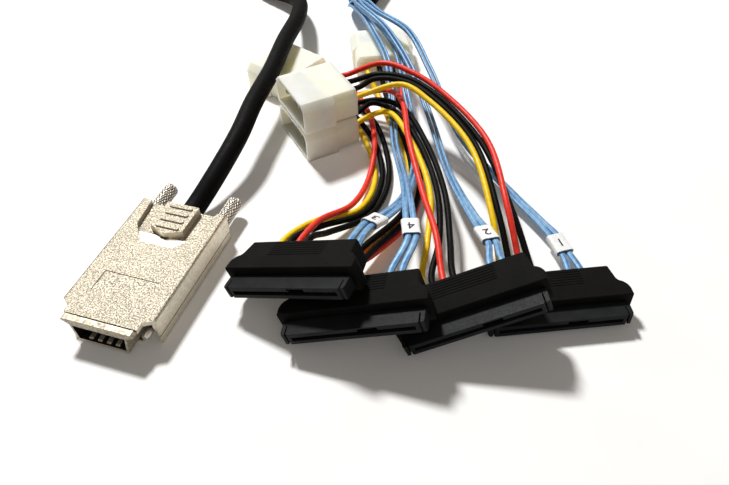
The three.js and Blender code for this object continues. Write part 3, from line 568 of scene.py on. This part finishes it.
strandSet = {"width": 1.9, "thickness": 1.15, "sides": 16, "squareness": 0.8, "steps": 150,
             "pitch": 2.2, "closePitch": 1.45, "twist": 75.0, "driveEntry": 9.5, "entryShift": {"a": 3.5},
             "driveRun": 4, "driveDepth": 0.1, "driveHalf": 2.0, "runHalf": 1.6,
             "bootX": 6.0, "bootFace": 195.0, "bootZ": 5.0, "bootDepth": 1.0, "bootRun": 6, "pairGap": 0.05,
             "layer": 1.35}
strandRoutes = {
    "a": [(14, 177, 9), (24, 160, 13), (36.5, 144, 13), (49, 118, 8), (56.5, 100, 7), (61.5, 82, 7),
          (62.5, 66, 8.5), (60.3, 51.5, 13), (58.4, 43, 17)],
    "b": [(8.5, 178, 9), (17.5, 163, 13.5), (27.5, 148, 14), (37, 133, 12.5), (44.5, 114, 7), (52, 92, 7.5),
          (62.5, 68, 11.2), (68, 52.5, 13.4), (71, 44, 14.8)],
    "c": [(8.5, 178, 12.5), (17.5, 163, 17), (31, 149, 17.8), (46, 131, 14), (59.5, 109, 9), (72, 84, 7.4),
          (84.3, 63, 10), (88.5, 56, 12), (92.5, 49.3, 13.9)],
    "d": [(14, 177, 12.5), (25, 161, 17), (41, 147, 18.5), (54, 129, 15), (71.5, 104, 7), (91, 85, 4),
          (104, 72.3, 3.8), (108.5, 67.6, 3.8), (113, 60.8, 3.8)],
}
bootPlaces = {"a": (1, -1), "b": (-1, -1), "c": (-1, 1), "d": (1, 1)}  # side and layer of each pair
strandTurn = {"from": 8, "over": 22, "backOver": 34, "levelFor": 28}


# The flat strands lie level at both ends and stand nearly on edge between: the turn follows a smooth step
# from 8 to 30 mm after the boot and back from 62 to 28 mm before the connector.
def strandTwist(route):
    run = runAlong(route) / mm
    turned = smoothStep(run, strandTurn["from"], strandTurn["over"])
    back = smoothStep(run[-1] - run, strandTurn["levelFor"], strandTurn["backOver"])
    return math.radians(strandSet["twist"]) * turned * back


def strandRoute(name, half):  # half: -1 for the left strand of the pair, 1 for the right one
    side, layer = bootPlaces[name]
    face, pitch = strandSet["bootFace"], strandSet["pitch"]
    bootX = strandSet["bootX"] + side * (pitch + strandSet["pairGap"]) + half * pitch / 2
    bootZ = strandSet["bootZ"] + layer * strandSet["layer"]
    start = np.array([(bootX, face + strandSet["bootDepth"], bootZ),
                      (bootX, face - strandSet["bootRun"], bootZ)]) * mm
    apart = np.full(len(strandRoutes[name]), half * strandSet["closePitch"] / 2)
    apart[[0, -2, -1]] = half * pitch / 2  # side by side where they lie level
    middle = lanePoints(strandRoutes[name], apart, 0.0) * mm
    entry = strandSet["driveEntry"] + strandSet["entryShift"].get(name, 0)
    end = placed([(entry + half * strandSet["runHalf"], hoodBack + strandSet["driveRun"], 0),
                  (entry + half * strandSet["driveHalf"], hoodBack - strandSet["driveDepth"], 0)],
                 seatMatrix(driveSeats[name]))
    return smoothRoute(np.vstack([start, middle, end]), strandSet["steps"])


def makeStrands():
    halfWidth, halfThickness = strandSet["width"] / 2 * mm, strandSet["thickness"] / 2 * mm
    for name in "abcd":
        for half, word in ((-1, "left"), (1, "right")):
            route = strandRoute(name, half)
            rings = tubeRings(route, halfWidth, halfThickness, strandSet["sides"], strandSet["squareness"],
                              strandTwist(route))
            piece = gridSurface("strand_" + name + "_" + word, rings)
            finishPiece(piece, "ribbon", cableSet, "ribbon_" + name + "_" + word)
    print("data strands made")


makeStrands()


# marking sleeves with a plain number each

sleeveSet = {"length": 7.0, "halfWidth": 2.7, "halfHeight": 1.3, "inside": 0.05, "wall": 0.22, "flare": 0.05,
             "waist": 0.1, "squareness": 0.62, "back": 0.62, "rows": 18, "sides": 64, "digit": 4.4,
             "inkDepth": 0.02}
sleeveNumbers = {"a": "3", "b": "4", "c": "2", "d": "1"}
ink = wirePvc("printedInk", "#1b1c22", "#2a2b33")


# X across the strands, Y along them towards the connector, Z up off the sleeve; the sleeve's middle lies
# back from the last centre point by a share of its length.
def sleeveMatrix(name):
    before, at = (np.array(strandRoutes[name][k], float) for k in (-2, -1))
    along = (at - before) / np.linalg.norm(at - before)
    side = np.cross(along, [0, 0, 1.0])
    side /= np.linalg.norm(side)
    matrix = np.eye(4)
    matrix[:3, :3] = np.stack([side, along, np.cross(side, along)], 1)
    matrix[:3, 3] = (at - along * sleeveSet["length"] * sleeveSet["back"]) * mm
    return matrix


# Band: an oval, cos u and sin u to the power squareness, carried along Y, flared a little at both ends and
# drawn in between the strands: its height times 1 - waist * cos(pi x / 2) squared, x from -1 to 1. Rows run
# up the outside and back down the inside.
def sleeveBand():
    shape = sleeveSet
    u = np.linspace(0, 2 * np.pi, shape["sides"], endpoint=False)
    x = np.sign(np.cos(u)) * np.abs(np.cos(u)) ** shape["squareness"]
    z = np.sign(np.sin(u)) * np.abs(np.sin(u)) ** shape["squareness"]
    half = shape["length"] / 2
    y = np.concatenate([np.linspace(-half, half, shape["rows"]), np.linspace(half, -half, shape["rows"])])
    inset = np.repeat([0.0, shape["wall"]], shape["rows"])
    flare = -shape["flare"] * np.cos(np.abs(y) / half * np.pi)
    halfX = (shape["halfWidth"] - shape["inside"] + flare - inset)[:, None]
    halfZ = (shape["halfHeight"] - shape["inside"] + flare - inset)[:, None]
    waist = 1 - shape["waist"] * np.cos(np.pi * x / 2) ** 2
    return np.stack([halfX * x, np.broadcast_to(y[:, None], (len(y), len(u))), halfZ * z * waist], -1)


def addNumber(name, matrix):  # printed on the waist of the band
    text = bpy.data.curves.new("number" + name, "FONT")
    text.body = sleeveNumbers[name]
    text.size, text.extrude = sleeveSet["digit"] * mm, sleeveSet["inkDepth"] * mm
    text.align_x, text.align_y = "CENTER", "CENTER"
    holder = addObject("numberText_" + name, text)
    bpy.context.view_layer.update()
    mesh = bpy.data.meshes.new_from_object(holder)
    bpy.data.objects.remove(holder)
    lift = (sleeveSet["halfHeight"] * (1 - sleeveSet["waist"]) + sleeveSet["inkDepth"]) * mm
    mesh.transform(Matrix(matrix.tolist()) @ Matrix.Translation((0, 0, lift)))
    mesh.materials.clear()
    mesh.materials.append(ink)
    number = addObject("sleeveNumber_" + name, mesh)
    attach(number, cableSet)


def makeSleeves():
    band = sleeveBand()
    for name in "abcd":
        matrix = sleeveMatrix(name)
        piece = gridSurface("sleeve_" + name + "_band", placed(band, matrix), 50, closedRows=True)
        finishPiece(piece, "sleeve", cableSet, "sleeve_" + name)
        addNumber(name, matrix)
    print("sleeves made")


makeSleeves()


# drive connectors

hoodShape = {"front": 41.3, "back": 34.6, "frontY": 5.1, "backY": hoodBack, "above": 4.6, "below": 3.8,
             "drop": 0.5, "levelFor": 4.5, "backFall": 0.05, "corner": 0.6, "leastCorner": 0.3, "edge": 0.3,
             "backEdge": 0.7, "bodyRows": 130,
             "grooves": 6, "groovePitch": 0.95, "firstGroove": 1.6, "grooveDepth": 0.2, "grooveWidth": 0.14,
             "gripWidth": 18.0, "gripFade": 0.3, "pocketHalf": 17.9, "pocketTop": 2.1, "pocketBottom": -2.0,
             "pocketBack": 10.0, "pocketCorner": 0.15, "lip": 0.12, "lipDepth": 0.15}


# Rounded rectangle ring: walks top, corner, side, corner, bottom, corner, side, corner. Each column holds
# its share of the straight half sizes and of the corner radius, so one ring fits every row.
def ringShares(topSteps, cornerSteps, sideSteps):
    s = np.linspace(-1, 1, topSteps)
    q = np.linspace(0, np.pi / 2, cornerSteps + 2)[1:-1]
    t = np.linspace(1, -1, sideSteps)
    one, none = np.ones_like, np.zeros_like
    parts = [
        np.stack([s, one(s), none(s), one(s)]), np.stack([one(q), one(q), np.sin(q), np.cos(q)]),
        np.stack([one(t), t, one(t), none(t)]), np.stack([one(q), -one(q), np.cos(q), -np.sin(q)]),
        np.stack([-s, -one(s), none(s), -one(s)]), np.stack([-one(q), -one(q), -np.sin(q), -np.cos(q)]),
        np.stack([-one(t), -t, -one(t), none(t)]), np.stack([-one(q), one(q), -np.cos(q), np.sin(q)]),
    ]
    return np.concatenate(parts, 1)


# Rows of such rings: x = share * (half width - corner) + corner share * corner, and z the same way about
# the middle between top and bottom.
def ringRows(y, halfWidth, top, bottom, corner, shares):
    y, halfWidth, top, bottom, corner = (np.broadcast_to(v, y.shape)[:, None] for v in
                                         (y, halfWidth, top, bottom, corner))
    straightX, straightZ, cornerX, cornerZ = shares
    x = straightX * (halfWidth - corner) + cornerX * corner
    z = (top + bottom) / 2 + straightZ * ((top - bottom) / 2 - corner) + cornerZ * corner
    return np.stack([x, np.broadcast_to(y, x.shape), z], -1)


def quadraticCurve(start, handle, end, count=10):  # (1 - t)^2 start + 2t (1 - t) handle + t^2 end
    t = np.linspace(0, 1, count)[:, None]
    a, b, c = (np.array(p, float) for p in (start, handle, end))
    return (1 - t) ** 2 * a + 2 * t * (1 - t) * b + t * t * c


# Half width over depth: straight, round the shoulder on two curves that meet at its waist, then nearly
# straight to the back.
def shoulderOutline():
    wide, narrow, frontY = hoodShape["front"] / 2, hoodShape["back"] / 2, hoodShape["frontY"]
    waist = (narrow + 1.3, frontY + 5.2)
    return np.vstack([
        [(wide, frontY)], quadraticCurve((wide, frontY + 2.2), (wide - 0.2, frontY + 4.2), waist),
        quadraticCurve(waist, (narrow + 0.5, frontY + 5.8), (narrow + 0.4, frontY + 7.6))[1:],
        [(narrow, hoodShape["backY"] - 0.8)],
    ])


# Hood: rounded rectangle rings along Y. Half width follows the shoulder outline, the top falls towards
# the back, and front and back edges turn in on a quarter circle.
def hoodSkin(shares):
    shape = hoodShape
    frontY, backY, edge, backEdge = shape["frontY"], shape["backY"], shape["edge"], shape["backEdge"]
    body = np.linspace(frontY + edge, backY - backEdge, shape["bodyRows"])
    q = np.linspace(0, np.pi / 2, 6)
    y = np.concatenate([frontY + edge * (1 - np.cos(q[:-1])), body,
                        backY - backEdge + backEdge * np.sin(q[1:])])
    inset = np.concatenate([edge * (1 - np.sin(q[:-1])), np.zeros(len(body)), backEdge * (1 - np.cos(q[1:]))])
    outline = shoulderOutline()
    halfWidth = np.interp(y, outline[:, 1], outline[:, 0]) - inset
    low = shape["above"] - shape["drop"]
    top = np.interp(y, [frontY, frontY + shape["levelFor"], backY - backEdge, backY],
                    [shape["above"], shape["above"], low, low - shape["backFall"]]) - inset
    bottom = -shape["below"] + inset
    corner = np.maximum(shape["corner"] - inset / 2, shape["leastCorner"])
    return ringRows(y, halfWidth, top, bottom, corner, shares)


# Grip grooves: the top sinks by depth * sum of exp(-(distance / width) squared), faded out at both sides.
def sinkGrooves(skin, shares):
    shape = hoodShape
    grooveY = shape["backY"] - shape["firstGroove"] - np.arange(shape["grooves"]) * shape["groovePitch"]
    bells = np.exp(-((skin[..., 1:2] - grooveY) / shape["grooveWidth"]) ** 2).sum(-1)
    across = np.clip((shape["gripWidth"] / 2 - np.abs(skin[..., 0])) / shape["gripFade"], 0, 1)
    onTop = (shares[1] == 1) * (shares[2] == 0) * (shares[3] == 1)
    skin[..., 2] -= shape["grooveDepth"] * bells * across * onTop[None]


# The pocket that the housing sits in, from its floor to a small lip that flares out at the front.
def hoodPocket(shares):
    shape = hoodShape
    lip = np.array([0, 0, shape["lip"]])
    y = np.array([shape["pocketBack"], shape["frontY"] + shape["lipDepth"], shape["frontY"]])
    corner = np.array([1, 1, 4 / 3]) * shape["pocketCorner"]
    return ringRows(y, shape["pocketHalf"] + lip, shape["pocketTop"] + lip, shape["pocketBottom"] - lip,
                    corner, shares)


def makeHoods():
    shares = ringShares(120, 5, 12)
    skin = hoodSkin(shares)
    sinkGrooves(skin, shares)
    rings = np.concatenate([hoodPocket(shares), skin])
    for name in "abcd":
        piece = gridSurface("hood_" + name, placed(rings, seatMatrix(driveSeats[name])), 38)
        finishPiece(piece, "hood", cableSet, "drive_hood_" + name)
    print("hoods made")


housingEdge = 0.12


def makeHousings():
    for name in "abcd":
        housing = softenedCopy("housing_" + name, "drive_housing_" + name, housingEdge, 2)
        finishPiece(housing, "housing", cableSet, "drive_housing_" + name)
    print("housings made")


makeHoods()
makeHousings()


# power plugs: nylon bodies with tinned pins over the moulded cores

nylonEdge = 0.3
pinShape = {"radius": 1.07, "tip": -18.25, "noseLength": 1.2, "noseRadius": 0.5, "straight": -14.0,
            "root": -11.0, "sides": 20}


# Pin: a turned profile of radius over length, nose rounded on a quarter ellipse that starts just off the
# axis, so that a small face closes it.
def pinRings():
    shape = pinShape
    q = np.linspace(0.06, np.pi / 2, 7)
    y = np.concatenate([shape["tip"] + shape["noseLength"] * (1 - np.cos(q)),
                        [shape["straight"], shape["root"]]])
    r = np.concatenate([shape["noseRadius"] + (shape["radius"] - shape["noseRadius"]) * np.sin(q),
                        [shape["radius"], shape["radius"]]])
    u = np.linspace(0, 2 * np.pi, shape["sides"], endpoint=False)
    return np.stack([r[:, None] * np.cos(u), np.broadcast_to(y[:, None], (len(y), len(u))),
                     r[:, None] * np.sin(u)], -1)


def makePowerPlugs():
    pin = pinRings()
    for name in "abcd":
        plug = softenedCopy("nylonPlug_" + name, "power_plug_" + name, nylonEdge, 3)
        finishPiece(plug, "nylon", cableSet, "power_plug_" + name)
        seat = seatMatrix(powerSeats[name])
        for k in range(4):
            shifted = pin + np.array([(k - middleOfFour) * wireSet["plugPitch"], 0, 0])
            piece = gridSurface("powerPin_" + name + str(k), placed(shifted, seat), 50)
            finishPiece(piece, "plated", cableSet)
    print("power plugs made")


makePowerPlugs()


# thumbscrews of the die-cast plug

screwShape = {"x": 11.3, "z": 4.9, "shank": 1.1, "knob": 2.3, "knobFrom": 42.1, "knobTo": 53.1, "tip": -3.0,
              "point": 0.6, "pointRadius": 0.7, "neck": 0.5, "knurlFrom": 0.7, "knurlTo": 0.9,
              "knurlRows": 110, "knurls": 16, "knurlPitch": 0.9, "knurlDepth": 0.3, "flankSlope": 2.2}


# Turned profile, length and radius: point, shank, knob with chamfered ends.
def screwProfile():
    shape = screwShape
    shank, knob, start, end = shape["shank"], shape["knob"], shape["knobFrom"], shape["knobTo"]
    stem = np.linspace(0, start - shape["neck"], 8)
    grip = np.linspace(start + shape["knurlFrom"], end - shape["knurlTo"], shape["knurlRows"])
    profile = np.vstack([
        [(shape["tip"], shape["pointRadius"]), (shape["tip"] + shape["point"], shank)],
        np.stack([stem, np.full(len(stem), shank)], 1),
        [(start, shank), (start + 0.01, knob - 0.45), (start + 0.4, knob - 0.1)],
        np.stack([grip, np.full(len(grip), knob)], 1),
        [(end - 0.4, knob - 0.15), (end - 0.01, knob - 0.6), (end, 0.2)],
    ])
    return profile[:, 0], profile[:, 1]


# Thumbscrew: on the knob a diamond knurl lowers the radius by depth * (1 - min of two triangle waves)
# that run round and along in opposite slants.
def makeThumbscrews():
    shape = screwShape
    y, r = screwProfile()
    u = np.linspace(0, 2 * np.pi, shape["knurls"] * 10, endpoint=False)
    turns = u[None] * shape["knurls"] / (2 * np.pi)
    length = (y[:, None] - shape["knobFrom"]) / shape["knurlPitch"]
    waveA = 1 - np.abs(((turns + length * 0.5) % 1) * 2 - 1)
    waveB = 1 - np.abs(((turns - length * 0.5) % 1) * 2 - 1)
    onGrip = (r == shape["knob"]).astype(float)[:, None]
    valley = onGrip * (1 - np.clip(np.minimum(waveA, waveB) * shape["flankSlope"], 0, 1))
    radius = r[:, None] - shape["knurlDepth"] * valley
    for word, side in (("left", -1), ("right", 1)):
        points = np.stack([side * shape["x"] + radius * np.cos(u), np.broadcast_to(y[:, None], radius.shape),
                           shape["z"] + radius * np.sin(u)], -1)
        piece = gridSurface("thumbscrew_" + word + "_turned", points * mm, 35)
        # the same valley marks set where the knurl material paints shade
        marks = piece.data.attributes.new("valley", "FLOAT", "POINT")
        marks.data.foreach_set("value", valley.ravel().astype(np.float32))
        finishPiece(piece, "knurled", "thumbscrew_" + word + "_body", "thumbscrew_" + word)
    print("thumbscrews made")


makeThumbscrews()


# the die-cast plug

plugEdges = {"top": 0.28, "bottom": 0.22, "nose": 0.12, "block": 0.08}  # width of the rounding
# slopes and places of the faces that get painted light: walls by slope, the ramp by place and slope
paintedLightFaces = {"levelFrom": 0.75, "rampSlope": 0.2, "rampFrom": 24.0, "rampTo": 30.0, "rampAbove": 8}
# zone inside the mating tube that gets painted shade
tubeShadeZone = {"middle": 4.5, "from": -6.2, "half": 8.1, "tabFrom": 2.08, "tabTo": 2.75, "tabHalf": 5.2}


# The blasted skin covers the level faces only: the walls take a lighter nickel as painted reflected light,
# and the ramp before the grip pad a near-white nickel as a painted highlight.
def paintLightOnWalls(obj):
    obj.data.materials.append(finishes["wall"])
    obj.data.materials.append(finishes["paintedHighlightFacet"])
    for face in obj.data.polygons:
        _, y, z = face.center / mm
        onRamp = paintedLightFaces["rampFrom"] < y < paintedLightFaces["rampTo"] and z > paintedLightFaces["rampAbove"]
        # walls: painted reflected light
        if abs(face.normal.z) < paintedLightFaces["levelFrom"]:
            face.material_index = 1
        # ramp: painted highlight
        elif face.normal.y > paintedLightFaces["rampSlope"] and onRamp:
            face.material_index = 2


# Painted shade inside the mating tube: faces that look to its middle take the insulator's black, but not
# those of the sprung tabs.
def shadeTubeInside(obj):
    # the insulator's black stands in for the shade inside the tube
    obj.data.materials.append(finishes["insulator"])
    for face in obj.data.polygons:
        x, y, z = face.center / mm
        inward = face.normal.x * x + face.normal.z * (z - tubeShadeZone["middle"]) < 0
        onTab = tubeShadeZone["tabFrom"] < z < tubeShadeZone["tabTo"] and abs(x) < tubeShadeZone["tabHalf"]
        if inward and y > tubeShadeZone["from"] and abs(x) < tubeShadeZone["half"] and not onTab:
            face.material_index = 1


def makePlug():
    top = softenedCopy("plugShellTop", "shell_top", plugEdges["top"], 3)
    finishPiece(top, "shell", cableSet, "shell_top")
    paintLightOnWalls(top)
    bottom = softenedCopy("plugShellBottom", "shell_bottom", plugEdges["bottom"], 2)
    finishPiece(bottom, "shell", cableSet, "shell_bottom")
    paintLightOnWalls(bottom)
    nose = softenedCopy("matingTube", "nose_frame", plugEdges["nose"], 2)
    finishPiece(nose, "plated", cableSet, "nose_frame")
    shadeTubeInside(nose)
    block = softenedCopy("contactCarrier", "contact_block", plugEdges["block"], 1)
    finishPiece(block, "insulator", cableSet, "contact_block")
    print("plug made")


makePlug()

plainPieces = {"paddle_board": "board", "cable_ferrule": "plated", "shell_screw_left": "plated",
               "shell_screw_right": "plated", "drive_contacts_a": "contact", "drive_contacts_b": "contact",
               "drive_contacts_c": "contact", "drive_contacts_d": "contact"}  # shown as the solids they are
for node, slotName in plainPieces.items():
    setFinish(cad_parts[node].data, slotName)


# white table and studio light

tableTop = {"reach": 1.6, "dark": "#f6f5f2", "light": "#fcfbf9", "glowTint": "#fffdf8", "glow": 0.05}
lamps = {  # the key stands behind and to the left, 53 degrees up: shadows fall forward and to the right
    "keyLamp": {"towards": (-0.55, 0.52, 1.0), "distance": 1.6, "size": 0.22, "power": 29.5,
                "colour": "#ffffff"},
    "fillLamp": {"towards": (0.7, -0.9, 1.2), "distance": 1.2, "size": 0.9, "power": 1.0,
                 "colour": "#f6f8ff"},
}
lampAim = (0.05, 0.06, 0.0)
room = {"level": 0.15, "glossyLevel": 0.5, "seenLevel": 1.0, "tint": "#fff4e6", "seenTint": "#ffffff"}


# The table glows a little where the camera, a mirror or glass looks at it, and keeps its shadows.
def makeTable():
    reach = tableTop["reach"]
    mesh = bpy.data.meshes.new("whiteTable")
    mesh.from_pydata([(-reach, -reach, 0), (reach, -reach, 0), (reach, reach, 0), (-reach, reach, 0)], [],
                     [(0, 1, 2, 3)])
    table = addObject("whiteTable", mesh)
    material, tree, shader, place = startMaterial("whiteTablePaint", {
        "Roughness": 0.7, "Specular IOR Level": 0.2})
    speckle = grainNoise(tree, place, 30.0)
    setColour(tree, shader, ramp(tree, speckle, tableTop["dark"], tableTop["light"]))
    path = addNode(tree, "ShaderNodeLightPath")
    seen = path.outputs["Is Camera Ray"]
    for ray in ("Is Glossy Ray", "Is Transmission Ray"):
        either = addNode(tree, "ShaderNodeMath", {0: seen, 1: path.outputs[ray]}, operation="MAXIMUM")
        seen = either.outputs[0]
    glow = addNode(tree, "ShaderNodeMath", {0: seen, 1: tableTop["glow"]}, operation="MULTIPLY")
    shader.inputs["Emission Color"].default_value = toLinear(tableTop["glowTint"])
    tree.links.new(glow.outputs[0], shader.inputs["Emission Strength"])
    mesh.materials.append(material)


def addLamp(name, towards, distance, size, power, colour):
    data = bpy.data.lights.new(name, "AREA")
    data.shape, data.size, data.energy = "DISK", size, power
    data.color = toLinear(colour)[:3]
    lamp = addObject(name, data)
    direction = np.array(towards, float) / np.linalg.norm(towards)
    lamp.location = np.array(lampAim) + direction * distance
    lamp.rotation_mode = "QUATERNION"
    lamp.rotation_quaternion = Vector(direction).to_track_quat("Z", "Y")


# World strength: the seen level for the camera, the glossy level in reflections, else the room level.
def makeRoom():
    world = bpy.data.worlds.new("paleRoom")
    bpy.context.scene.world = world
    world.use_nodes = True
    tree = world.node_tree
    tree.nodes.clear()
    path = addNode(tree, "ShaderNodeLightPath")
    camera = path.outputs["Is Camera Ray"]
    glossy = addNode(tree, "ShaderNodeMix", {"Factor": path.outputs["Is Glossy Ray"], "A": room["level"],
                                             "B": room["glossyLevel"]}, data_type="FLOAT")
    strength = addNode(tree, "ShaderNodeMix", {"Factor": camera, "A": glossy.outputs["Result"],
                                               "B": room["seenLevel"]}, data_type="FLOAT")
    tint = mixColours(tree, camera, toLinear(room["tint"]), toLinear(room["seenTint"]))
    background = addNode(tree, "ShaderNodeBackground", {"Color": tint,
                                                        "Strength": strength.outputs["Result"]})
    addNode(tree, "ShaderNodeOutputWorld", {"Surface": background.outputs["Background"]})


makeTable()
for name, lamp in lamps.items():
    addLamp(name, **lamp)
makeRoom()
print("table and light made")
